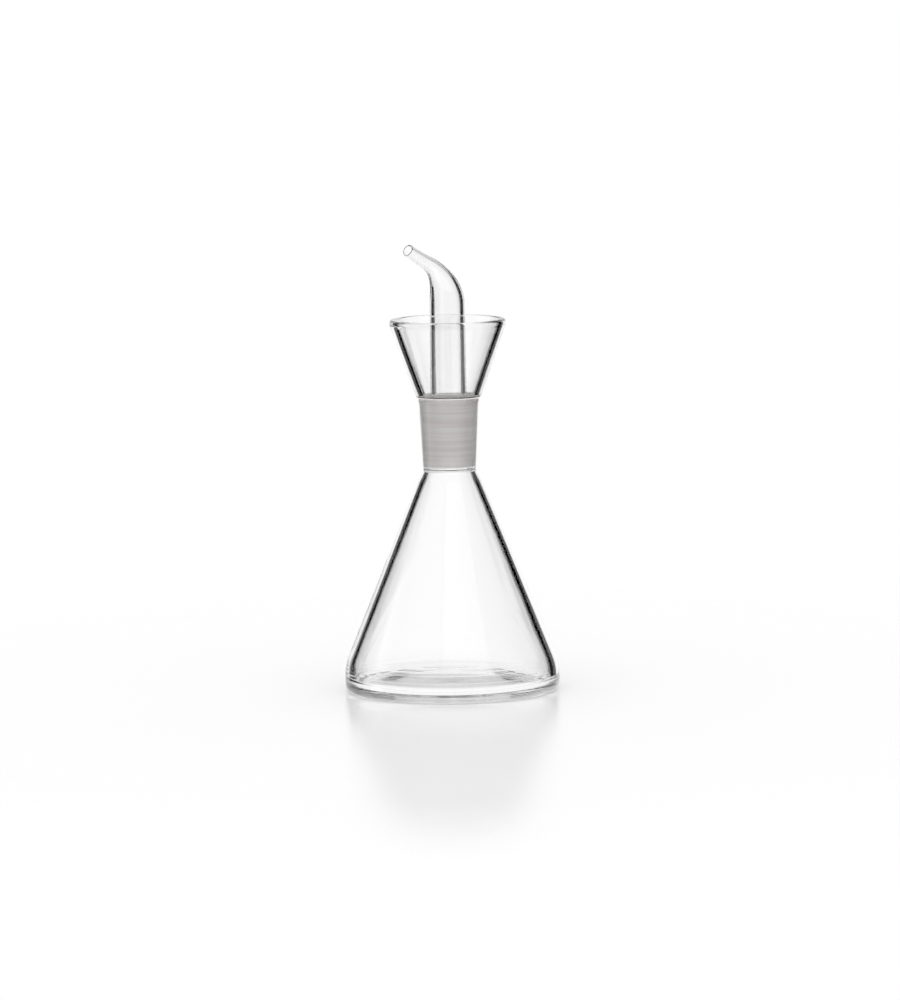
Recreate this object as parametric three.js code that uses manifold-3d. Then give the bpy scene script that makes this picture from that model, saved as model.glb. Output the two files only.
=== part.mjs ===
// Oil cruet: a conical flask of clear borosilicate glass with a ground neck, and a lift-out pourer
// made of a ground cone, a drip funnel and a bent pouring spout.
// Millimetres, +Z up. The origin is on the flask's axis, on the plane that the flask stands on.

import * as THREE from 'three';
import { mergeVertices } from 'three/addons/utils/BufferGeometryUtils.js';
import Module from 'manifold-3d';

// Flask
const FLASK_RADIUS = 45;
const FLASK_WALL = 2.7; // at the shoulder
const BAND_WALL = 3.3; // at the foot, where the blown glass is thickest
const BASE_THICKNESS = 3.2;
const HEEL_ROUND = 3.2;
const INNER_HEEL_ROUND = 4.2;
const BAND_HEIGHT = 11.1; // the upright band at the foot, up to where the cone would start
const BAND_ROUND = 22;
const CONE_HEIGHT = 77.3;
const SHOULDER_SPREAD = 2.35; // from the neck's outside to where the cone would end
const SHOULDER_HEIGHT = 4.3; // the steeper stretch between the cone and the neck
const SHOULDER_ROUND = 12;
const NECK_ROUND = 3;
const NECK_STUB = 1.4; // the straight ring of the flask that the ground neck is fused to

// Ground joint between flask and pourer, a 1 in 10 taper on the diameter
const JOINT_DIAMETER = 21.5; // the cone's large end
const JOINT_LENGTH = 28;
const JOINT_TAPER = 0.1;
const JOINT_CLEARANCE = 0.15; // on the radius

// Neck round the ground joint
const NECK_WALL = 1.55;
const MOUTH_HEIGHT = 0.6;
const MOUTH_FLARE = 0.4;
const MOUTH_ROUND = 0.35;
const LIP_HEIGHT = 2.4;
const LIP_FLARE = 0.6;
const LIP_BLEND = 2.4; // rounds the lip's lower edge into the neck
const LIP_ROUND = 0.8;

// Pourer's ground cone
const CONE_WALL = 1.6;
const SEAT_GAP = 0.35; // between the neck's lip and the funnel's underside
const TIP_CLEARANCE = 0.6; // from the neck's lower end up to the pourer's lower end

// Drip funnel
const FUNNEL_HEIGHT = 33;
const FUNNEL_OVERHANG = 0.44; // of the funnel's foot, past the neck's lip
const FUNNEL_FOOT_ROUND = 0.9;
const FUNNEL_WALL = 2.9;
const FUNNEL_FLOOR = 1.6; // thickness of the floor where it meets the cone's bore
const FLOOR_SLOPE = 32; // degrees above level
const FLOOR_ROUND = 3;
const FLOOR_EDGE_ROUND = 0.7;
const RIM_RADIUS = 24.2;
const RIM_THICKNESS = 2.9;
const RIM_BAND = 2.6; // the upright band below the rim's top
const RIM_ROUND = 1.1;
const RIM_BLEND = 3;

// Pouring spout, a drawn tube
const TUBE_GAP = 1.6; // between the tube and the ground cone's bore
const TUBE_NARROWING = 0.27; // of the radius, from the ground cone to the bend
const TUBE_WALL = 1.6; // where the tube leaves the ground cone
const FOOT_THICKNESS = 2; // the ring that joins the tube to the ground cone
const FOOT_FILLET = 1;
const FOOT_ROUND = 0.8;
const BORE_MOUTH_ROUND = 1;
const BEND_START = 5.6; // above the funnel's rim
const BEND_RADIUS = 20.4;
const SPOUT_RISE = 28; // degrees that the straight end rises above level
const SPOUT_REACH = 13.5; // length of the straight end
const SPOUT_TIP_RADIUS = 2.55;
const DRAW_SHARE = 0.43; // share of the drawn length over which the tube narrows most
const DRAW_POWER = 2.1;
const TIP_ROUND = 0.3;
const SPOUT_AZIMUTH = 225; // degrees from +X, seen from above
const DRAIN_RADIUS = 1.25; // hole through the tube's wall, just above its foot
const DRAIN_RISE = 3.2; // from the foot ring up to the hole's axis

// Steps of the round surfaces
const ROUND_STEPS = 48;
const TUBE_STEPS = 24;
const HOLE_STEPS = 16;
const ARC_STEP = THREE.MathUtils.degToRad(24);
const BEND_STEP = THREE.MathUtils.degToRad(6);
const REACH_STEPS = 3;

const LEVEL = new THREE.Vector2(1, 0);
const UPRIGHT = new THREE.Vector2(0, 1);

// A corner of an outline: distance from the axis, height, and the radius that rounds it.
function corner(radius, height, round = 0) {
  return { point: new THREE.Vector2(radius, height), round };
}

// A straight line through a point.
function line(point, direction) {
  return { point, direction };
}

// The line through two points, moved to its left by the wall's thickness at each point. That is the inside of
// an outer wall that is drawn upwards.
function wallLine(from, to, thickness, endThickness = thickness) {
  const direction = to.clone().sub(from).normalize();
  const left = new THREE.Vector2(-direction.y, direction.x);
  const start = from.clone().addScaledVector(left, thickness);
  const end = to.clone().addScaledVector(left, endThickness);
  return line(start, end.sub(start).normalize());
}

// Where two lines cross, as a corner with the given rounding.
function crossing(first, second, round = 0) {
  const between = second.point.clone().sub(first.point);
  const distance = between.cross(second.direction) / first.direction.cross(second.direction);
  const point = first.point.clone().addScaledVector(first.direction, distance);
  return { point, round };
}

// The outline's points, with an arc in place of each rounded corner. An arc takes at most half of each
// stretch beside it.
function roundedOutline(corners) {
  return corners.flatMap(({ point, round }, index) => {
    if (round <= 0) return [point];
    const before = corners.at(index - 1).point.clone().sub(point);
    const after = corners[(index + 1) % corners.length].point.clone().sub(point);
    const room = Math.min(before.length(), after.length()) / 2;
    before.normalize();
    after.normalize();
    const halfAngle = before.angleTo(after) / 2;
    const reach = Math.min(round / Math.tan(halfAngle), room);
    const radius = reach * Math.tan(halfAngle);
    const towardsCentre = before.clone().add(after).normalize();
    const centre = point.clone().addScaledVector(towardsCentre, radius / Math.sin(halfAngle));
    const start = point.clone().addScaledVector(before, reach).sub(centre);
    const end = point.clone().addScaledVector(after, reach).sub(centre);
    const turn = start.angleTo(end);
    const turnSign = Math.sign(start.cross(end));
    const steps = Math.max(1, Math.ceil(turn / ARC_STEP));
    return Array.from({ length: steps + 1 }, (_, step) =>
      start.clone().rotateAround(new THREE.Vector2(), (turnSign * turn * step) / steps).add(centre));
  });
}

// A body of revolution about Z.
function turned(outline) {
  return new THREE.LatheGeometry(outline, ROUND_STEPS).rotateX(Math.PI / 2);
}

// A ring of revolution about Z, whose outline closes on itself.
function turnedRing(corners) {
  const outline = roundedOutline(corners);
  return turned([...outline, outline[0].clone()]);
}

// Radius of the pourer's ground cone, and of the neck's ground bore, at a height above the neck's lower end.
const coneRadius = (height) => (JOINT_DIAMETER - JOINT_TAPER * (JOINT_LENGTH - height)) / 2;
const neckBore = (height) => coneRadius(height) + JOINT_CLEARANCE;
const neckOutside = (height) => neckBore(height) + NECK_WALL;

const flaskHeight = BAND_HEIGHT + CONE_HEIGHT + SHOULDER_HEIGHT + NECK_STUB;
const neckHeight = JOINT_LENGTH + MOUTH_HEIGHT;
const lipStart = neckHeight - LIP_HEIGHT;
const lipRadius = neckOutside(lipStart) + LIP_FLARE;
const seatHeight = neckHeight + SEAT_GAP; // the funnel's underside, above the neck's lower end

function flaskBody() {
  const bandTop = corner(FLASK_RADIUS, BAND_HEIGHT, BAND_ROUND);
  const shoulder = corner(neckOutside(0) + SHOULDER_SPREAD, BAND_HEIGHT + CONE_HEIGHT, SHOULDER_ROUND);
  const neckFoot = corner(neckOutside(0), flaskHeight - NECK_STUB, NECK_ROUND);

  const floorLine = line(new THREE.Vector2(0, BASE_THICKNESS), LEVEL);
  const bandLine = line(new THREE.Vector2(FLASK_RADIUS - BAND_WALL, 0), UPRIGHT);
  const coneLine = wallLine(bandTop.point, shoulder.point, BAND_WALL, FLASK_WALL);
  const shoulderLine = wallLine(shoulder.point, neckFoot.point, FLASK_WALL);
  const boreLine = line(new THREE.Vector2(neckBore(0), 0), UPRIGHT);

  return turned(roundedOutline([
    corner(0, 0),
    corner(FLASK_RADIUS, 0, HEEL_ROUND),
    bandTop,
    shoulder,
    neckFoot,
    corner(neckOutside(0), flaskHeight),
    corner(neckBore(0), flaskHeight),
    crossing(shoulderLine, boreLine, NECK_ROUND + FLASK_WALL),
    crossing(coneLine, shoulderLine, SHOULDER_ROUND - FLASK_WALL),
    crossing(bandLine, coneLine, BAND_ROUND - BAND_WALL),
    crossing(floorLine, bandLine, INNER_HEEL_ROUND),
    corner(0, BASE_THICKNESS),
  ]));
}

function neckSocket() {
  return turnedRing([
    corner(neckBore(0), 0),
    corner(neckOutside(0), 0),
    corner(neckOutside(lipStart), lipStart, LIP_BLEND),
    corner(lipRadius, neckHeight, LIP_ROUND),
    corner(neckBore(JOINT_LENGTH) + MOUTH_FLARE, neckHeight, MOUTH_ROUND),
    corner(neckBore(JOINT_LENGTH), JOINT_LENGTH),
  ]);
}

// The pourer's pieces have the funnel's underside as height 0.
const pourerBottom = TIP_CLEARANCE - seatHeight;
const footTop = pourerBottom + FOOT_THICKNESS;
const coneOutside = (height) => coneRadius(height + seatHeight);
const coneBore = (height) => coneOutside(height) - CONE_WALL;

function stopperCone() {
  return turnedRing([
    corner(coneBore(footTop), footTop),
    corner(coneOutside(footTop), footTop),
    corner(coneOutside(0), 0),
    corner(coneBore(0), 0),
  ]);
}

function dripFunnel() {
  const foot = corner(lipRadius + FUNNEL_OVERHANG, 0, FUNNEL_FOOT_ROUND);
  const bandFoot = corner(RIM_RADIUS, FUNNEL_HEIGHT - RIM_BAND, RIM_BLEND);
  const innerRim = RIM_RADIUS - RIM_THICKNESS;

  const innerWall = wallLine(foot.point, bandFoot.point, FUNNEL_WALL);
  const innerBand = line(new THREE.Vector2(innerRim, 0), UPRIGHT);
  const slope = LEVEL.clone().rotateAround(new THREE.Vector2(), THREE.MathUtils.degToRad(FLOOR_SLOPE));
  const floor = line(new THREE.Vector2(coneBore(0), FUNNEL_FLOOR), slope);

  return turnedRing([
    corner(coneBore(0), 0),
    foot,
    bandFoot,
    corner(RIM_RADIUS, FUNNEL_HEIGHT, RIM_ROUND),
    corner(innerRim, FUNNEL_HEIGHT, RIM_ROUND),
    crossing(innerBand, innerWall, RIM_BLEND),
    crossing(innerWall, floor, FLOOR_ROUND),
    corner(coneBore(0), FUNNEL_FLOOR, FLOOR_EDGE_ROUND),
  ]);
}

// The spout's centre line runs straight up, round the bend and straight out to the tip. A place on it is its
// distance along the line from the funnel's underside.
const bendStart = FUNNEL_HEIGHT + BEND_START;
const bendAngle = THREE.MathUtils.degToRad(90 - SPOUT_RISE);
const bendEnd = bendStart + BEND_RADIUS * bendAngle;
const spoutEnd = bendEnd + SPOUT_REACH;

// Centre of the tube and its tilt from upright, at a place along the spout.
function spoutPlace(place) {
  const tilt = THREE.MathUtils.clamp((place - bendStart) / BEND_RADIUS, 0, bendAngle);
  const straight = Math.max(place - bendEnd, 0);
  const x = BEND_RADIUS * (1 - Math.cos(tilt)) + straight * Math.sin(tilt);
  const z = Math.min(place, bendStart) + BEND_RADIUS * Math.sin(tilt) + straight * Math.cos(tilt);
  return { centre: new THREE.Vector3(x, 0, z), tilt };
}

// Outer radius of the tube above the ground cone. The drawn end thins out towards the tip's radius.
const stemRadius = coneBore(0) - TUBE_GAP;
const bendTubeRadius = stemRadius - TUBE_NARROWING;
function tubeRadius(place) {
  if (place <= bendStart) {
    return THREE.MathUtils.mapLinear(place, 0, bendStart, stemRadius, bendTubeRadius);
  }
  const share = (place - bendStart) / (spoutEnd - bendStart);
  const kept = Math.exp(-((share / DRAW_SHARE) ** DRAW_POWER));
  return SPOUT_TIP_RADIUS + (bendTubeRadius - SPOUT_TIP_RADIUS) * kept;
}

// Glass tube that is drawn thinner keeps the ratio of its bore to its outside.
const boreShare = 1 - TUBE_WALL / stemRadius;

// Places along the bend and the straight end where the tube has a ring.
function drawnPlaces() {
  const bendSteps = Math.ceil(bendAngle / BEND_STEP);
  const bend = Array.from({ length: bendSteps + 1 }, (_, step) =>
    bendStart + ((bendEnd - bendStart) * step) / bendSteps);
  const reach = Array.from({ length: REACH_STEPS - 1 }, (_, step) =>
    bendEnd + (SPOUT_REACH * (step + 1)) / REACH_STEPS);
  return [...bend, ...reach];
}

// The wall's outline, as radius and place along the spout, from the bore's mouth round the outside and back.
function spoutOutline() {
  const drawn = drawnPlaces();
  const footRadius = coneBore(footTop) - TUBE_GAP;
  return roundedOutline([
    corner(footRadius * boreShare, pourerBottom, BORE_MOUTH_ROUND),
    corner(coneOutside(pourerBottom), pourerBottom, FOOT_ROUND),
    corner(coneOutside(footTop), footTop),
    corner(footRadius, footTop, FOOT_FILLET),
    corner(stemRadius, 0),
    ...drawn.map((place) => corner(tubeRadius(place), place)),
    corner(tubeRadius(spoutEnd), spoutEnd, TIP_ROUND),
    corner(tubeRadius(spoutEnd) * boreShare, spoutEnd, TIP_ROUND),
    ...drawn.toReversed().map((place) => corner(tubeRadius(place) * boreShare, place)),
    corner(stemRadius * boreShare, 0),
  ]);
}

// The tube as rings round its centre line, each joined to the next and the last to the first.
function spoutTube() {
  const outline = spoutOutline();
  const rings = outline.map(({ x: radius, y: place }) => {
    const { centre, tilt } = spoutPlace(place);
    return Array.from({ length: TUBE_STEPS }, (_, step) => {
      const turn = (2 * Math.PI * step) / TUBE_STEPS;
      return new THREE.Vector3(radius * Math.cos(turn), radius * Math.sin(turn), 0)
        .applyAxisAngle(new THREE.Vector3(0, 1, 0), tilt)
        .add(centre);
    });
  });
  const faces = [];
  for (let ring = 0; ring < rings.length; ring += 1) {
    for (let step = 0; step < TUBE_STEPS; step += 1) {
      const here = ring * TUBE_STEPS + step;
      const beside = ring * TUBE_STEPS + ((step + 1) % TUBE_STEPS);
      const above = ((ring + 1) % rings.length) * TUBE_STEPS + step;
      const aboveBeside = ((ring + 1) % rings.length) * TUBE_STEPS + ((step + 1) % TUBE_STEPS);
      faces.push(here, beside, aboveBeside, here, aboveBeside, above);
    }
  }
  return new THREE.BufferGeometry().setFromPoints(rings.flat()).setIndex(faces);
}

const wasm = await Module();
wasm.setup();

function toSolid(geometry) {
  const bare = geometry.clone();
  bare.deleteAttribute('normal');
  bare.deleteAttribute('uv');
  const merged = mergeVertices(bare);
  return new wasm.Manifold(new wasm.Mesh({
    numProp: 3,
    vertProperties: new Float32Array(merged.attributes.position.array),
    triVerts: new Uint32Array(merged.index.array),
  }));
}

function toGeometry(solid) {
  const { vertProperties, triVerts } = solid.getMesh();
  const geometry = new THREE.BufferGeometry();
  geometry.setAttribute('position', new THREE.BufferAttribute(vertProperties, 3));
  return geometry.setIndex(new THREE.BufferAttribute(triVerts, 1));
}

// The spout with its drain hole, which lets what the funnel catches run back into the flask. The hole is on
// the side away from the bend and ends in the bore.
function pouringSpout() {
  const drill = new THREE.CylinderGeometry(DRAIN_RADIUS, DRAIN_RADIUS, stemRadius, HOLE_STEPS)
    .rotateZ(Math.PI / 2)
    .translate(-stemRadius / 2, 0, footTop + DRAIN_RISE);
  return toGeometry(toSolid(spoutTube()).subtract(toSolid(drill)));
}

function clearGlass() {
  return new THREE.MeshStandardMaterial({
    color: 0xe9f0f1,
    roughness: 0.03,
    metalness: 0,
    transparent: true,
    opacity: 0.35,
  });
}

function groundGlass() {
  return new THREE.MeshStandardMaterial({
    color: 0xbdbcb9,
    roughness: 0.8,
    metalness: 0,
    transparent: true,
    opacity: 0.85,
  });
}

function piece(name, geometry, material) {
  const mesh = new THREE.Mesh(geometry, material);
  mesh.name = name;
  return mesh;
}

const flask = new THREE.Group();
const neck = piece('neck_socket', neckSocket(), groundGlass());
neck.position.z = flaskHeight;
flask.add(piece('flask_body', flaskBody(), clearGlass()), neck);

const pourer = new THREE.Group();
const spout = piece('pouring_spout', pouringSpout(), clearGlass());
spout.rotation.z = THREE.MathUtils.degToRad(SPOUT_AZIMUTH);
pourer.add(piece('stopper_cone', stopperCone(), groundGlass()));
pourer.add(piece('drip_funnel', dripFunnel(), clearGlass()), spout);
pourer.position.z = flaskHeight + seatHeight;

const cruet = new THREE.Group();
cruet.add(flask, pourer);

export default cruet;
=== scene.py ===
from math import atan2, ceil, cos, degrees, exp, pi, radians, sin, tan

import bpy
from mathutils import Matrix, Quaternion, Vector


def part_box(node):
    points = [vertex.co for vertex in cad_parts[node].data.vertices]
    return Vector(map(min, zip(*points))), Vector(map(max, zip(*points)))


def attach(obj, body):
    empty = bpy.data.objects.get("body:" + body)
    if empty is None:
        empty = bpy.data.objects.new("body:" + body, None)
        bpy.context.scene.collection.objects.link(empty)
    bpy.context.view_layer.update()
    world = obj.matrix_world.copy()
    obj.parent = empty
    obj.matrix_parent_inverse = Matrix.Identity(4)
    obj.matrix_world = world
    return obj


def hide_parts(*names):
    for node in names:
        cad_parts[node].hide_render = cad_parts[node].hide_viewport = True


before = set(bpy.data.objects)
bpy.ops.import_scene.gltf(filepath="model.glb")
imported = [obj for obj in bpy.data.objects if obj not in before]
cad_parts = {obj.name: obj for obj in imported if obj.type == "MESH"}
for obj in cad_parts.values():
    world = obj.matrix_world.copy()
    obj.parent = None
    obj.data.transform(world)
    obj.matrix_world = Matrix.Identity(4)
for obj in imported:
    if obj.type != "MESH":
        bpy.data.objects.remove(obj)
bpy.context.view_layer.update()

# Oil cruet of clear and ground borosilicate glass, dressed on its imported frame. Metres, +Z up.
# The flask and its neck are one fused glass piece, and so are the pourer's cone, funnel and spout, so
# each unit is one closed glass mesh here and stands for its CAD pieces.

MM = 0.001

# Camera, from the photograph's outline and the ellipses of its rims
CAMERA_TARGET = Vector((0, 0, 80 * MM))
CAMERA_DISTANCE = 2.4
CAMERA_ELEVATION = radians(6.5)
CAMERA_ROLL = radians(0.82)
CAMERA_LENS = 206.5  # on a 36 mm sensor along the picture's height
SENSOR = 36
CAMERA_SIGHT = 20  # how far it sees, in metres

# Heights and radii that the frame gives
FLASK_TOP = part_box("flask_body")[1].z
FLASK_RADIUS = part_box("flask_body")[1].x
NECK_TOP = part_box("neck_socket")[1].z
POURER_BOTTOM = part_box("pouring_spout")[0].z
FOOT_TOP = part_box("stopper_cone")[0].z
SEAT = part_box("drip_funnel")[0].z
FUNNEL_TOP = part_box("drip_funnel")[1].z
RIM_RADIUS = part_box("drip_funnel")[1].x

# Flask
FLASK_WALL = 2.7 * MM  # at the shoulder
BAND_WALL = 3.75 * MM  # at the foot
BASE_THICKNESS = 3.2 * MM
BASE_RISE = 0.6 * MM  # of the foot's underside, at its middle
RISE_SHOULDER = 0.55  # share of the foot's radius where the rise bends down
RISE_LEFT = 0.7  # share of the rise that is left there
RISE_ROUND = 30 * MM
STANDING_EDGE = 7.04 * MM  # from the foot's side in to where the rise starts
STANDING_ROUND = 6 * MM
HEEL_ROUND = 3.2 * MM
INNER_HEEL_ROUND = 4.2 * MM
BAND_HEIGHT = 11.1 * MM
BAND_ROUND = 22 * MM
CONE_HEIGHT = 77.3 * MM
SHOULDER_SPREAD = 2.35 * MM
SHOULDER_ROUND = 12 * MM
NECK_ROUND = 3 * MM
NECK_STUB = 1.4 * MM
# The inner cone runs straight up to a melted ledge, which closes it in to the ground bore
LEDGE_TOP = FLASK_TOP + 0.1 * MM
LEDGE_ROUND = 1.2 * MM
LEDGE_EDGE_ROUND = 0.3 * MM
# The blown wall is thicker on its right side: heights, and how far the inside lies to the left, in mm
INNER_SHIFT = [(3.2, 0), (12, 0.3), (24, 0.35), (40, 0.28), (60, 0.15), (92, 0)]
RING_GAP = 7 * MM  # the longest stretch between rings of the uneven wall

# Ground joint
JOINT_DIAMETER = 21.5 * MM
JOINT_LENGTH = 28 * MM
JOINT_TAPER = 0.1
JOINT_CLEARANCE = 0.15 * MM
NECK_WALL = 1.55 * MM
BORE_TOP_ROUND = 1 * MM
MOUTH_FLARE = 0.4 * MM
MOUTH_ROUND = 0.35 * MM
LIP_HEIGHT = 2.4 * MM
LIP_FLARE = 0.6 * MM
LIP_BLEND = 2.4 * MM
LIP_ROUND = 0.8 * MM
CONE_WALL = 1.6 * MM
TAPER_TOUCH = 0.02 * MM  # how near a stretch lies to the taper where it is ground
SEAT_TOUCH = 0.01 * MM  # and how far below the seat

# Drip funnel
FUNNEL_OVERHANG = 0.44 * MM
FUNNEL_FOOT_ROUND = 0.9 * MM
SEAT_FILLET = 0.3 * MM
FUNNEL_WALL = 2.9 * MM
FUNNEL_FLOOR = 0.9 * MM
FLOOR_SLOPE = radians(8)
FLOOR_ROUND = 5 * MM
FLOOR_EDGE_ROUND = 0.3 * MM
RIM_THICKNESS = 2.9 * MM
RIM_BAND = 2.6 * MM
RIM_ROUND = 1.1 * MM
RIM_BLEND = 3 * MM
FUNNEL_SHIFT = 0.2 * MM  # of the hand-drawn inner wall to the right
SHIFT_START = 2 * MM  # length over which the shift grows from the floor's inner edge
SHIFT_END = 6 * MM  # and over which it fades below the rim
GROUND_TOP = SEAT + 0.65 * MM  # the grinding runs a little way up the funnel's foot

# Pouring spout
TUBE_GAP = 1.6 * MM
TUBE_NARROWING = 0.27 * MM
TUBE_WALL = 1.6 * MM
FOOT_FILLET = 1 * MM
FOOT_ROUND = 0.8 * MM
FOOT_RING_ROUND = 0.6 * MM
STEM_ROUND = 20 * MM
BORE_MOUTH_ROUND = 1 * MM
BEND_START = 5.6 * MM
BEND_RADIUS = 20.4 * MM
BEND_ANGLE = radians(62)
SPOUT_REACH = 13.5 * MM
SPOUT_TIP_RADIUS = 2.55 * MM
DRAW_SHARE = 0.43
DRAW_POWER = 2.1
TIP_ROUND = 0.3 * MM
SPOUT_AZIMUTH = radians(225)

# Looks of the glass
GLASS_INDEX = 1.472
WAVE_SCALE = (120, 120, 12)
UPRIGHT_SLOPE, LEVEL_SLOPE = 0.3, 0.8  # part along Z of the normal, on upright and on level ground faces
UPRIGHT_CLEARNESS = 0.42
LEVEL_LOSS = 0.3  # of the clearness, on level faces and above the seat
SEAT_BLEND = 0.2 * MM
GRIND_SCALE = (12, 12, 900)
GRIND_LOW, GRIND_HIGH = 0.3, 0.7  # values of the lines' noise where the grinding is smoothest and roughest
SMOOTHEST_GRIND, ROUGHEST_GRIND = 0.4, 0.55
BAND_SCALE = (6, 6, 330)
BAND_LOW, BAND_HIGH = 0.42, 0.56  # values of the bands' noise where the grinding is darkest and palest
DARK_GRIND = (0.9, 0.865, 0.862, 1)
PALE_GRIND = (1, 0.98, 0.978, 1)

# Backdrops that the glass shows and cards that it mirrors, all in degrees: azimuth, half width, lower edge
# and upper edge
BACKDROPS = [
    (90, 22, -89, 35),
    (180, 22, -89, 35),
    (135, 12, -42, -22),
    (315, 20, -42, 4),
    (90, 75, 12, 35),
    (180, 75, 12, 35),
]
MIRRORED_CARDS = [(92, 32, -89, 25), (180, 9, -89, 25), (-73, 29, 15, 50)]
BACKDROP_MIDDLE = 1.05
BACKDROP_FALL = 0.01  # for each degree from the middle
BACKDROP_SOFTNESS = 0.6
CARD_SOFTNESS = 3.0
STEEP_START, STEEP_FULL = -36, -40  # the white table top
OVERHEAD_START, OVERHEAD_FULL = 60, 64  # the white ceiling
# The backdrops are dimmer in a low stretch, which the floor shows as a soft reflection
DIM_FOOT, DIM_LOW, DIM_HIGH, DIM_TOP = 0, 6, 9, 15
DIMMING = 0.55

# Soft light on matt surfaces, by where it comes from
FRONT_LIGHT = 1.5
BACK_LIGHT = 0.6
UPPER_LIGHT = 0.8
EVEN_LIGHT = 0.12

# Light runs along inside the thick foot, so its path takes many turns
LIGHT_TURNS = 40

# White table top
TABLE_RADIUS = 0.9
TABLE_SIDES = 128
TABLE_DROP = 0.05 * MM  # below the foot, so that no faces meet
TABLE_COLOUR = (0.94, 0.935, 0.94, 1)
TABLE_GLOSS_ROUGHNESS = 0.2
TABLE_INDEX = 1.45
TABLE_FADE_START, TABLE_FADE_END = 0.27, 0.42  # where it fades into plain white
FOOT_PATCH_START, FOOT_PATCH_END = 0.058, 0.07  # where the white patch that the glass shows fades out

WHITE = (1, 1, 1, 1)
CLEAR, GROUND = 0, 1  # numbers of the two materials on a mesh

# Steps of the round surfaces
SEGMENTS = 160
ARC_STEP = radians(5)
BEND_STEP = radians(2)
REACH_STEPS = 10
HOLD = 0.12 * MM  # length of the short stretch that keeps a straight wall straight beside an arc


class Nodes:
    """Adds shader nodes to a tree. A socket's value is a number, a colour or another node's output."""

    def __init__(self, tree):
        self.tree = tree
        tree.nodes.clear()

    def add(self, kind, values=None, **settings):
        node = self.tree.nodes.new(kind)
        for name, value in settings.items():
            setattr(node, name, value)
        for socket, value in (values or {}).items():
            if isinstance(value, bpy.types.NodeSocket):
                self.tree.links.new(value, node.inputs[socket])
            else:
                node.inputs[socket].default_value = value
        return node

    def math(self, operation, *values):
        return self.add("ShaderNodeMath", dict(enumerate(values)), operation=operation).outputs[0]

    def smooth(self, value, start, full):
        """0 up to the start, 1 from full on and a smooth step between. Start may lie above full."""
        values = {"Value": value, "From Min": start, "From Max": full}
        return self.add("ShaderNodeMapRange", values, interpolation_type="SMOOTHSTEP").outputs[0]

    def product(self, first, second):
        return self.math("MULTIPLY", first, second)

    def greater(self, first, second):
        return self.math("MAXIMUM", first, second)

    def choice(self, share, without, chosen):
        """The first value where the share is 0, the second where it is 1."""
        return self.add("ShaderNodeMix", {0: share, 2: without, 3: chosen}).outputs[0]

    def noise(self, place, scale, detail):
        """Cloudy values in the object's own space, stretched by a scale for each axis."""
        stretched = self.add("ShaderNodeMapping", {"Vector": place, "Scale": scale}).outputs[0]
        values = {"Vector": stretched, "Scale": 1.0, "Detail": detail}
        return self.add("ShaderNodeTexNoise", values).outputs[0]

    def upward(self, vector):
        """A vector's part along Z."""
        return self.add("ShaderNodeSeparateXYZ", {0: vector}).outputs["Z"]


def corner(radius, height, rounding=0.0):
    """A corner of an outline: distance from the axis, height, and the radius that rounds it."""
    return Vector((radius, height)), rounding


def wall_line(start, end, thickness, end_thickness=None):
    """The line through two points, moved to its left by the wall's thickness: a point and a direction."""
    direction = (end - start).normalized()
    left = Vector((-direction.y, direction.x))
    inner_start = start + left * thickness
    inner_end = end + left * (end_thickness or thickness)
    return inner_start, (inner_end - inner_start).normalized()


def crossing(first, second, rounding=0.0):
    """Where two lines cross, as a corner."""
    between = second[0] - first[0]
    distance = between.cross(second[1]) / first[1].cross(second[1])
    return first[0] + first[1] * distance, rounding


def arc_points(before, point, after, rounding):
    """The arc that rounds a corner. It takes at most half of each stretch beside it."""
    to_before, to_after = before - point, after - point
    room = min(to_before.length, to_after.length) / 2
    to_before.normalize()
    to_after.normalize()
    half_angle = to_before.angle(to_after) / 2
    reach = min(rounding / tan(half_angle), room)
    radius = reach * tan(half_angle)
    centre = point + (to_before + to_after).normalized() * (radius / sin(half_angle))
    start = point + to_before * reach - centre
    end = point + to_after * reach - centre
    turn = atan2(start.cross(end), start.dot(end))
    steps = max(2, ceil(abs(turn) / ARC_STEP))
    return [centre + rotated(start, turn * step / steps) for step in range(steps + 1)]


def rotated(vector, angle):
    """A flat vector turned to the left."""
    x, y = vector
    return Vector((x * cos(angle) - y * sin(angle), x * sin(angle) + y * cos(angle)))


def held(points, closed):
    """The outline with a short stretch at both ends of each long one, so that shading stays true by arcs."""
    out = []
    pairs = list(zip(points, points[1:] + points[:1]))
    for here, there in pairs if closed else pairs[:-1]:
        out.append(here)
        span = there - here
        if span.length > 4 * HOLD:
            out.append(here + span.normalized() * HOLD)
            out.append(there - span.normalized() * HOLD)
    return out if closed else out + [points[-1]]


def rounded_outline(corners, closed):
    """The outline's points, with an arc in place of each rounded corner."""
    points = []
    for index, (point, rounding) in enumerate(corners):
        if rounding > 0:
            before = corners[index - 1][0]
            after = corners[(index + 1) % len(corners)][0]
            points += arc_points(before, point, after, rounding)
        else:
            points.append(point.copy())
    return held(points, closed)


def ring_faces(ring, above):
    """The faces between two rings of vertices, each given by the number of its first one."""
    faces = []
    for step in range(SEGMENTS):
        beside = (step + 1) % SEGMENTS
        faces.append((ring + step, ring + beside, above + beside, above + step))
    return faces


def mesh_object(name, vertices, faces, materials, face_materials):
    """A smooth mesh object. Each face has the number of its material."""
    mesh = bpy.data.meshes.new(name)
    mesh.from_pydata(vertices, [], faces)
    for material in materials:
        mesh.materials.append(material)
    mesh.polygons.foreach_set("material_index", face_materials)
    mesh.polygons.foreach_set("use_smooth", [True] * len(faces))
    mesh.update()
    piece = bpy.data.objects.new(name, mesh)
    bpy.context.scene.collection.objects.link(piece)
    return piece


# Radii of the ground joint, at a height
def cone_outside(height):
    return (JOINT_DIAMETER - JOINT_TAPER * (FLASK_TOP + JOINT_LENGTH - height)) / 2


def cone_bore(height):
    return cone_outside(height) - CONE_WALL


def neck_bore(height):
    return cone_outside(height) + JOINT_CLEARANCE


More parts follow.
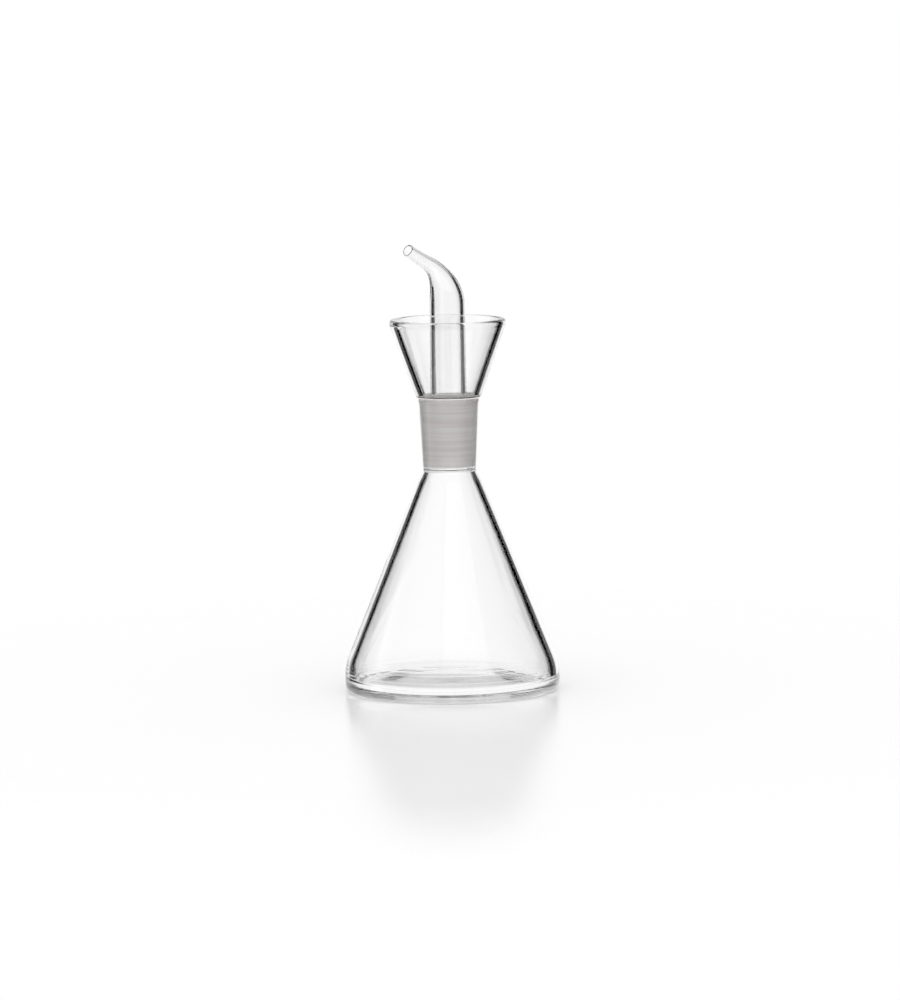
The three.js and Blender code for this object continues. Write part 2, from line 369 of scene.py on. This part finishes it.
def neck_outside(height):
    return neck_bore(height) + NECK_WALL


def clear_glass():
    """Clear glass with the faint waviness of drawn and blown walls."""
    material = bpy.data.materials.new("clear_glass")
    material.use_nodes = True
    nodes = Nodes(material.node_tree)
    place = nodes.add("ShaderNodeTexCoord").outputs["Object"]
    waves = nodes.noise(place, WAVE_SCALE, 2.0)
    bump = nodes.add("ShaderNodeBump", {"Height": waves, "Strength": 0.04, "Distance": 0.0002}).outputs[0]
    glass = nodes.add("ShaderNodeBsdfPrincipled", {
        "Base Color": WHITE,
        "Roughness": 0.0,
        "IOR": GLASS_INDEX,
        "Transmission Weight": 1.0,
        "Normal": bump,
    })
    nodes.add("ShaderNodeOutputMaterial", {"Surface": glass.outputs[0]})
    return material


def ground_glass():
    """Ground matt glass with fine level grinding lines and broader level bands. Its level faces and the
    funnel's foot scatter more light."""
    material = bpy.data.materials.new("ground_glass")
    material.use_nodes = True
    nodes = Nodes(material.node_tree)
    place = nodes.add("ShaderNodeTexCoord").outputs["Object"]
    facing = nodes.add("ShaderNodeTexCoord").outputs["Normal"]
    level = nodes.smooth(nodes.math("ABSOLUTE", nodes.upward(facing)), UPRIGHT_SLOPE, LEVEL_SLOPE)
    above_seat = nodes.smooth(nodes.upward(place), SEAT - SEAT_BLEND, SEAT)
    scattering = nodes.greater(level, above_seat)
    clearness = nodes.math("MULTIPLY_ADD", scattering, -LEVEL_LOSS, UPRIGHT_CLEARNESS)

    lines = nodes.noise(place, GRIND_SCALE, 3.0)
    bump = nodes.add("ShaderNodeBump", {"Height": lines, "Strength": 0.2, "Distance": 0.0001}).outputs[0]
    roughness = nodes.add("ShaderNodeMapRange", {
        "Value": lines,
        "From Min": GRIND_LOW,
        "From Max": GRIND_HIGH,
        "To Min": SMOOTHEST_GRIND,
        "To Max": ROUGHEST_GRIND,
    }).outputs[0]

    broad = nodes.noise(place, BAND_SCALE, 1.0)
    mean = nodes.math("MULTIPLY_ADD", lines, 0.5, nodes.product(broad, 0.5))
    colours = {0: nodes.smooth(mean, BAND_LOW, BAND_HIGH), 6: DARK_GRIND, 7: PALE_GRIND}
    colour = nodes.add("ShaderNodeMix", colours, data_type="RGBA").outputs[2]
    glass = nodes.add("ShaderNodeBsdfPrincipled", {
        "Base Color": colour,
        "Roughness": roughness,
        "IOR": GLASS_INDEX,
        "Transmission Weight": clearness,
        "Normal": bump,
    })
    nodes.add("ShaderNodeOutputMaterial", {"Surface": glass.outputs[0]})
    return material


def near(value, target):
    """Whether a length is the target but for rounding."""
    return abs(value - target) < TAPER_TOUCH


def flask_outline():
    """Points of the flask's and neck's wall: up the outside from the foot's middle, in at the mouth and down
    the inside to the floor's middle."""
    neck_radius = neck_outside(FLASK_TOP)
    band_top = corner(FLASK_RADIUS, BAND_HEIGHT, BAND_ROUND)
    shoulder = corner(neck_radius + SHOULDER_SPREAD, BAND_HEIGHT + CONE_HEIGHT, SHOULDER_ROUND)
    neck_foot = corner(neck_radius, FLASK_TOP - NECK_STUB, NECK_ROUND)
    lip_start = NECK_TOP - LIP_HEIGHT
    bore_top = FLASK_TOP + JOINT_LENGTH

    floor_line = (Vector((0, BASE_THICKNESS)), Vector((1, 0)))
    band_line = (Vector((FLASK_RADIUS - BAND_WALL, 0)), Vector((0, 1)))
    cone_line = wall_line(band_top[0], shoulder[0], BAND_WALL, FLASK_WALL)
    ledge_line = (Vector((0, LEDGE_TOP)), Vector((1, 0)))

    return rounded_outline([
        corner(0, BASE_RISE),
        corner(FLASK_RADIUS * RISE_SHOULDER, BASE_RISE * RISE_LEFT, RISE_ROUND),
        corner(FLASK_RADIUS - STANDING_EDGE, 0, STANDING_ROUND),
        corner(FLASK_RADIUS, 0, HEEL_ROUND),
        band_top,
        shoulder,
        neck_foot,
        corner(neck_outside(lip_start), lip_start, LIP_BLEND),
        corner(neck_outside(lip_start) + LIP_FLARE, NECK_TOP, LIP_ROUND),
        corner(neck_bore(bore_top) + MOUTH_FLARE, NECK_TOP, MOUTH_ROUND),
        corner(neck_bore(bore_top), bore_top, BORE_TOP_ROUND),
        corner(neck_bore(LEDGE_TOP), LEDGE_TOP, LEDGE_EDGE_ROUND),
        crossing(cone_line, ledge_line, LEDGE_ROUND),
        crossing(band_line, cone_line, BAND_ROUND - BAND_WALL),
        crossing(floor_line, band_line, INNER_HEEL_ROUND),
        corner(0, BASE_THICKNESS),
    ], closed=False)


def inner_shift(height):
    """How far the flask's inside lies to the left at a height. There is none outside the given heights."""
    for (low, shift), (high, shift_above) in zip(INNER_SHIFT, INNER_SHIFT[1:]):
        if low <= height / MM < high:
            return (shift + (shift_above - shift) * (height / MM - low) / (high - low)) * MM
    return 0


def divided(points):
    """The outline with its long stretches cut into shorter ones."""
    out = [points[0]]
    for here, there in zip(points, points[1:]):
        steps = ceil((there - here).length / RING_GAP)
        out += [here.lerp(there, (step + 1) / steps) for step in range(steps)]
    return out


def flask_glass(materials):
    """The flask and its neck as one body, turned round the axis but for its uneven inner wall. The first
    two vertices are the middles of the underside and of the floor."""
    outline = flask_outline()
    rings = outline[1:-1]
    mouth = max(range(len(rings)), key=lambda ring: rings[ring].y)
    rings = rings[:mouth] + divided(rings[mouth:])
    vertices = [(0, 0, outline[0].y), (0, 0, outline[-1].y)]
    first_ring = len(vertices)
    last_ring = first_ring + (len(rings) - 1) * SEGMENTS
    for ring, (radius, height) in enumerate(rings):
        shift = inner_shift(height) if ring > mouth else 0
        for step in range(SEGMENTS):
            turn = 2 * pi * step / SEGMENTS
            vertices.append((radius * cos(turn) - shift, radius * sin(turn), height))
    faces, finishes = [], []
    for step in range(SEGMENTS):
        beside = (step + 1) % SEGMENTS
        faces += [(0, first_ring + beside, first_ring + step), (1, last_ring + step, last_ring + beside)]
        finishes += [CLEAR, CLEAR]
    for ring, (low, high) in enumerate(zip(rings, rings[1:])):
        middle = (low + high) / 2
        ground = near(middle.x, neck_bore(middle.y)) and middle.y > FLASK_TOP
        here = first_ring + ring * SEGMENTS
        faces += ring_faces(here, here + SEGMENTS)
        finishes += [GROUND if ground else CLEAR] * SEGMENTS
    return mesh_object("flask_glass", vertices, faces, materials, finishes)


# The spout's centre line runs straight up, round the bend and straight out. A place on it is its distance
# along the line, counted from height 0.
BEND_FOOT = FUNNEL_TOP + BEND_START
BEND_END = BEND_FOOT + BEND_RADIUS * BEND_ANGLE
SPOUT_END = BEND_END + SPOUT_REACH
STEM_RADIUS = cone_bore(SEAT) - TUBE_GAP
BEND_TUBE_RADIUS = STEM_RADIUS - TUBE_NARROWING
BORE_SHARE = 1 - TUBE_WALL / STEM_RADIUS


def spout_place(place):
    """Centre of the tube in the upright plane of its bend, and its tilt from upright."""
    tilt = min(max((place - BEND_FOOT) / BEND_RADIUS, 0), BEND_ANGLE)
    straight = max(place - BEND_END, 0)
    out = BEND_RADIUS * (1 - cos(tilt)) + straight * sin(tilt)
    up = min(place, BEND_FOOT) + BEND_RADIUS * sin(tilt) + straight * cos(tilt)
    return out, up, tilt


def tube_radius(place):
    """Outer radius of the tube above the ground cone."""
    if place <= BEND_FOOT:
        return STEM_RADIUS - TUBE_NARROWING * (place - SEAT) / (BEND_FOOT - SEAT)
    share = (place - BEND_FOOT) / (SPOUT_END - BEND_FOOT)
    kept = exp(-((share / DRAW_SHARE) ** DRAW_POWER))
    return SPOUT_TIP_RADIUS + (BEND_TUBE_RADIUS - SPOUT_TIP_RADIUS) * kept


def drawn_places():
    """Places along the bend and the straight end where the tube has a ring."""
    bend_steps = ceil(BEND_ANGLE / BEND_STEP)
    bend = [BEND_FOOT + (BEND_END - BEND_FOOT) * step / bend_steps for step in range(bend_steps + 1)]
    return bend + [BEND_END + SPOUT_REACH * (step + 1) / REACH_STEPS for step in range(REACH_STEPS - 1)]


def pourer_outline():
    """The pourer's wall as radius and place: up the ground cone and the funnel, in over its rim, down to the
    foot, up the spout and back down its bore."""
    lip_start = NECK_TOP - LIP_HEIGHT
    funnel_foot = neck_outside(lip_start) + LIP_FLARE + FUNNEL_OVERHANG
    foot = corner(funnel_foot, SEAT, FUNNEL_FOOT_ROUND)
    band_foot = corner(RIM_RADIUS, FUNNEL_TOP - RIM_BAND, RIM_BLEND)
    inner_rim = RIM_RADIUS - RIM_THICKNESS

    inner_wall = wall_line(foot[0], band_foot[0], FUNNEL_WALL)
    inner_band = (Vector((inner_rim, 0)), Vector((0, 1)))
    floor = (Vector((cone_bore(SEAT), SEAT + FUNNEL_FLOOR)), Vector((cos(FLOOR_SLOPE), sin(FLOOR_SLOPE))))

    foot_radius = cone_bore(FOOT_TOP) - TUBE_GAP
    drawn = drawn_places()
    return rounded_outline([
        corner(cone_outside(POURER_BOTTOM), POURER_BOTTOM, FOOT_ROUND),
        corner(cone_outside(SEAT), SEAT, SEAT_FILLET),
        foot,
        band_foot,
        corner(RIM_RADIUS, FUNNEL_TOP, RIM_ROUND),
        corner(inner_rim, FUNNEL_TOP, RIM_ROUND),
        crossing(inner_band, inner_wall, RIM_BLEND),
        crossing(inner_wall, floor, FLOOR_ROUND),
        corner(cone_bore(SEAT), SEAT + FUNNEL_FLOOR, FLOOR_EDGE_ROUND),
        corner(cone_bore(FOOT_TOP), FOOT_TOP, FOOT_RING_ROUND),
        corner(foot_radius, FOOT_TOP, FOOT_FILLET),
        corner(STEM_RADIUS, SEAT, STEM_ROUND),
        *[corner(tube_radius(place), place) for place in drawn],
        corner(tube_radius(SPOUT_END), SPOUT_END, TIP_ROUND),
        corner(tube_radius(SPOUT_END) * BORE_SHARE, SPOUT_END, TIP_ROUND),
        *[corner(tube_radius(place) * BORE_SHARE, place) for place in reversed(drawn)],
        corner(STEM_RADIUS * BORE_SHARE, SEAT, STEM_ROUND),
        corner(foot_radius * BORE_SHARE, POURER_BOTTOM, BORE_MOUTH_ROUND),
    ], closed=True)


def funnel_share(radius, height):
    """How much of the inner wall's shift is there: none at the floor's inner edge and at the rim."""
    from_edge = (radius - cone_bore(SEAT)) / SHIFT_START
    from_rim = (FUNNEL_TOP - RIM_ROUND - height) / SHIFT_END
    return min(max(from_edge, 0), 1) * min(max(from_rim, 0), 1)


def pourer_glass(materials):
    """The pourer as rings round the spout's centre line, each joined to the next, the last to the first."""
    outline = pourer_outline()
    rim = max(range(len(outline)), key=lambda ring: outline[ring].x)
    vertices = []
    for ring, (radius, place) in enumerate(outline):
        out, up, tilt = spout_place(place)
        inside = rim < ring and radius > cone_bore(SEAT)
        shift = FUNNEL_SHIFT * funnel_share(radius, place) if inside else 0
        for step in range(SEGMENTS):
            turn = 2 * pi * step / SEGMENTS
            along = out + radius * cos(turn) * cos(tilt)
            across = radius * sin(turn)
            height = up - radius * cos(turn) * sin(tilt)
            x = along * cos(SPOUT_AZIMUTH) - across * sin(SPOUT_AZIMUTH) + shift
            y = along * sin(SPOUT_AZIMUTH) + across * cos(SPOUT_AZIMUTH)
            vertices.append((x, y, height))
    faces, finishes = [], []
    for ring, low in enumerate(outline):
        high = outline[(ring + 1) % len(outline)]
        middle = (low + high) / 2
        on_cone = near(middle.x, cone_outside(middle.y)) and middle.y > FOOT_TOP
        on_seat = middle.x > cone_outside(SEAT) and SEAT - SEAT_TOUCH < middle.y < GROUND_TOP
        faces += ring_faces(ring * SEGMENTS, (ring + 1) % len(outline) * SEGMENTS)
        finishes += [GROUND if on_cone or on_seat else CLEAR] * SEGMENTS
    return mesh_object("pourer_glass", vertices, faces, materials, finishes)


def make_camera():
    """The camera stands on the -Y side, a little above level, and is rolled slightly."""
    camera = bpy.data.objects.new("camera", bpy.data.cameras.new("camera"))
    bpy.context.scene.collection.objects.link(camera)
    back = Vector((0, -cos(CAMERA_ELEVATION), sin(CAMERA_ELEVATION)))
    camera.location = CAMERA_TARGET + back * CAMERA_DISTANCE
    camera.rotation_mode = "QUATERNION"
    upright = (-back).to_track_quat("-Z", "Y")
    camera.rotation_quaternion = upright @ Quaternion((0, 0, 1), -CAMERA_ROLL)
    camera.data.sensor_width = SENSOR
    camera.data.lens = CAMERA_LENS
    camera.data.clip_end = CAMERA_SIGHT
    bpy.context.scene.camera = camera


def azimuth_offset(nodes, direction, azimuth):
    """Degrees between a direction's azimuth and the given one."""
    flat = nodes.add("ShaderNodeVectorMath", {0: direction, 1: (1, 1, 0)}, operation="MULTIPLY").outputs[0]
    level = nodes.add("ShaderNodeVectorMath", {0: flat}, operation="NORMALIZE").outputs[0]
    middle = (cos(radians(azimuth)), sin(radians(azimuth)), 0)
    compared = nodes.add("ShaderNodeVectorMath", {0: level, 1: middle}, operation="DOT_PRODUCT")
    return nodes.product(nodes.math("ARCCOSINE", compared.outputs["Value"]), degrees(1))


def angle_step(nodes, height, start, full):
    """A smooth step between two angles above level, in degrees, for a direction's part along Z."""
    return nodes.smooth(height, sin(radians(start)), sin(radians(full)))


def card(nodes, direction, place, soft, middle=1.0, fall=0.0):
    """Light of a card that stands round the object. Its place is its azimuth and half width and its lower
    and upper edge, all in degrees. The light falls off from the card's middle to its sides."""
    azimuth, half_width, low, high = place
    height = nodes.upward(direction)
    offset = azimuth_offset(nodes, direction, azimuth)
    light = nodes.math("MULTIPLY_ADD", offset, -fall, middle)
    light = nodes.product(light, nodes.smooth(offset, half_width + soft, half_width - soft))
    light = nodes.product(light, angle_step(nodes, height, low - soft, low + soft))
    return nodes.product(light, angle_step(nodes, height, high + soft, high - soft))


def seen_light(nodes, direction, room):
    """What shows through the glass: white backdrops with dark gaps between, dimmer in a low stretch."""
    light = room
    for place in BACKDROPS:
        backdrop = card(nodes, direction, place, BACKDROP_SOFTNESS, BACKDROP_MIDDLE, BACKDROP_FALL)
        light = nodes.greater(light, backdrop)
    height = nodes.upward(direction)
    above_foot = angle_step(nodes, height, DIM_FOOT, DIM_LOW)
    below_top = angle_step(nodes, height, DIM_TOP, DIM_HIGH)
    dim = nodes.product(above_foot, below_top)
    return nodes.product(light, nodes.math("MULTIPLY_ADD", dim, -DIMMING, 1.0))


def mirrored_light(nodes, direction, room):
    """What the outer surfaces mirror: a few white cards."""
    light = room
    for place in MIRRORED_CARDS:
        light = nodes.greater(light, card(nodes, direction, place, CARD_SOFTNESS))
    return light


def soft_light(nodes, direction):
    """What lights the matt surfaces: most of it from the front, less from the back and from above, and a
    little from all round."""
    depth = nodes.add("ShaderNodeSeparateXYZ", {0: direction}).outputs["Y"]
    sides = nodes.greater(nodes.product(depth, -FRONT_LIGHT), nodes.product(depth, BACK_LIGHT))
    above = nodes.product(nodes.greater(nodes.upward(direction), 0.0), UPPER_LIGHT)
    return nodes.math("ADD", nodes.math("ADD", sides, above), EVEN_LIGHT)


def make_world():
    """A studio that shows the glass backdrops, cards, a white table top and a white ceiling in a dark room.
    The camera sees plain white, and matt surfaces get a soft light."""
    world = bpy.data.worlds.new("studio")
    bpy.context.scene.world = world
    world.use_nodes = True
    nodes = Nodes(world.node_tree)
    direction = nodes.add("ShaderNodeTexCoord").outputs["Generated"]
    rays = nodes.add("ShaderNodeLightPath").outputs
    height = nodes.upward(direction)
    table_top = angle_step(nodes, height, STEEP_START, STEEP_FULL)
    ceiling = angle_step(nodes, height, OVERHEAD_START, OVERHEAD_FULL)
    room = nodes.greater(table_top, ceiling)

    # Each choice overrides the ones before it
    light = nodes.choice(rays["Is Glossy Ray"], 1.0, mirrored_light(nodes, direction, room))
    light = nodes.choice(rays["Is Transmission Ray"], light, seen_light(nodes, direction, room))
    scattered = nodes.math("GREATER_THAN", rays["Diffuse Depth"], 0.5)
    light = nodes.choice(scattered, light, soft_light(nodes, direction))
    light = nodes.choice(rays["Is Camera Ray"], light, 1.0)
    background = nodes.add("ShaderNodeBackground", {"Color": WHITE, "Strength": light})
    nodes.add("ShaderNodeOutputWorld", {"Surface": background.outputs[0]})


def make_floor():
    """A glossy white table top that fades into the white backdrop. Rays from the glass see only a white
    patch of it under the foot, and pass through the rest to the studio's light."""
    bpy.ops.mesh.primitive_circle_add(
        vertices=TABLE_SIDES,
        radius=TABLE_RADIUS,
        fill_type="NGON",
        location=(0, 0, -TABLE_DROP),
    )
    floor = bpy.context.object
    floor.name = "table_top"

    material = bpy.data.materials.new("table_top")
    material.use_nodes = True
    nodes = Nodes(material.node_tree)
    rays = nodes.add("ShaderNodeLightPath").outputs
    place = nodes.add("ShaderNodeTexCoord").outputs["Object"]
    distance = nodes.add("ShaderNodeVectorMath", {0: place}, operation="LENGTH").outputs["Value"]
    gloss = nodes.add("ShaderNodeBsdfPrincipled", {
        "Base Color": TABLE_COLOUR,
        "Roughness": TABLE_GLOSS_ROUGHNESS,
        "IOR": TABLE_INDEX,
    })
    white = nodes.add("ShaderNodeEmission", {"Color": WHITE, "Strength": 1.0})
    fade = nodes.smooth(distance, TABLE_FADE_START, TABLE_FADE_END)
    seen = nodes.add("ShaderNodeMixShader", {0: fade, 1: gloss.outputs[0], 2: white.outputs[0]})
    clear = nodes.add("ShaderNodeBsdfTransparent")
    past_patch = nodes.smooth(distance, FOOT_PATCH_START, FOOT_PATCH_END)
    through = nodes.add("ShaderNodeMixShader", {0: past_patch, 1: white.outputs[0], 2: clear.outputs[0]})
    from_glass = nodes.greater(rays["Is Transmission Ray"], rays["Is Glossy Ray"])
    mixed = nodes.add("ShaderNodeMixShader", {0: from_glass, 1: seen.outputs[0], 2: through.outputs[0]})
    nodes.add("ShaderNodeOutputMaterial", {"Surface": mixed.outputs[0]})
    floor.data.materials.append(material)


make_camera()
make_world()
make_floor()
glasses = [clear_glass(), ground_glass()]

flask = flask_glass(glasses)
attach(flask, "flask")
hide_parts("flask_body", "neck_socket")

pourer = pourer_glass(glasses)
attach(pourer, "pourer")
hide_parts("stopper_cone", "drip_funnel", "pouring_spout")

bpy.context.scene.view_settings.view_transform = "Standard"
bpy.context.scene.cycles.max_bounces = LIGHT_TURNS
bpy.context.scene.cycles.glossy_bounces = LIGHT_TURNS
bpy.context.scene.cycles.transmission_bounces = LIGHT_TURNS
bpy.context.scene.cycles.diffuse_bounces = LIGHT_TURNS
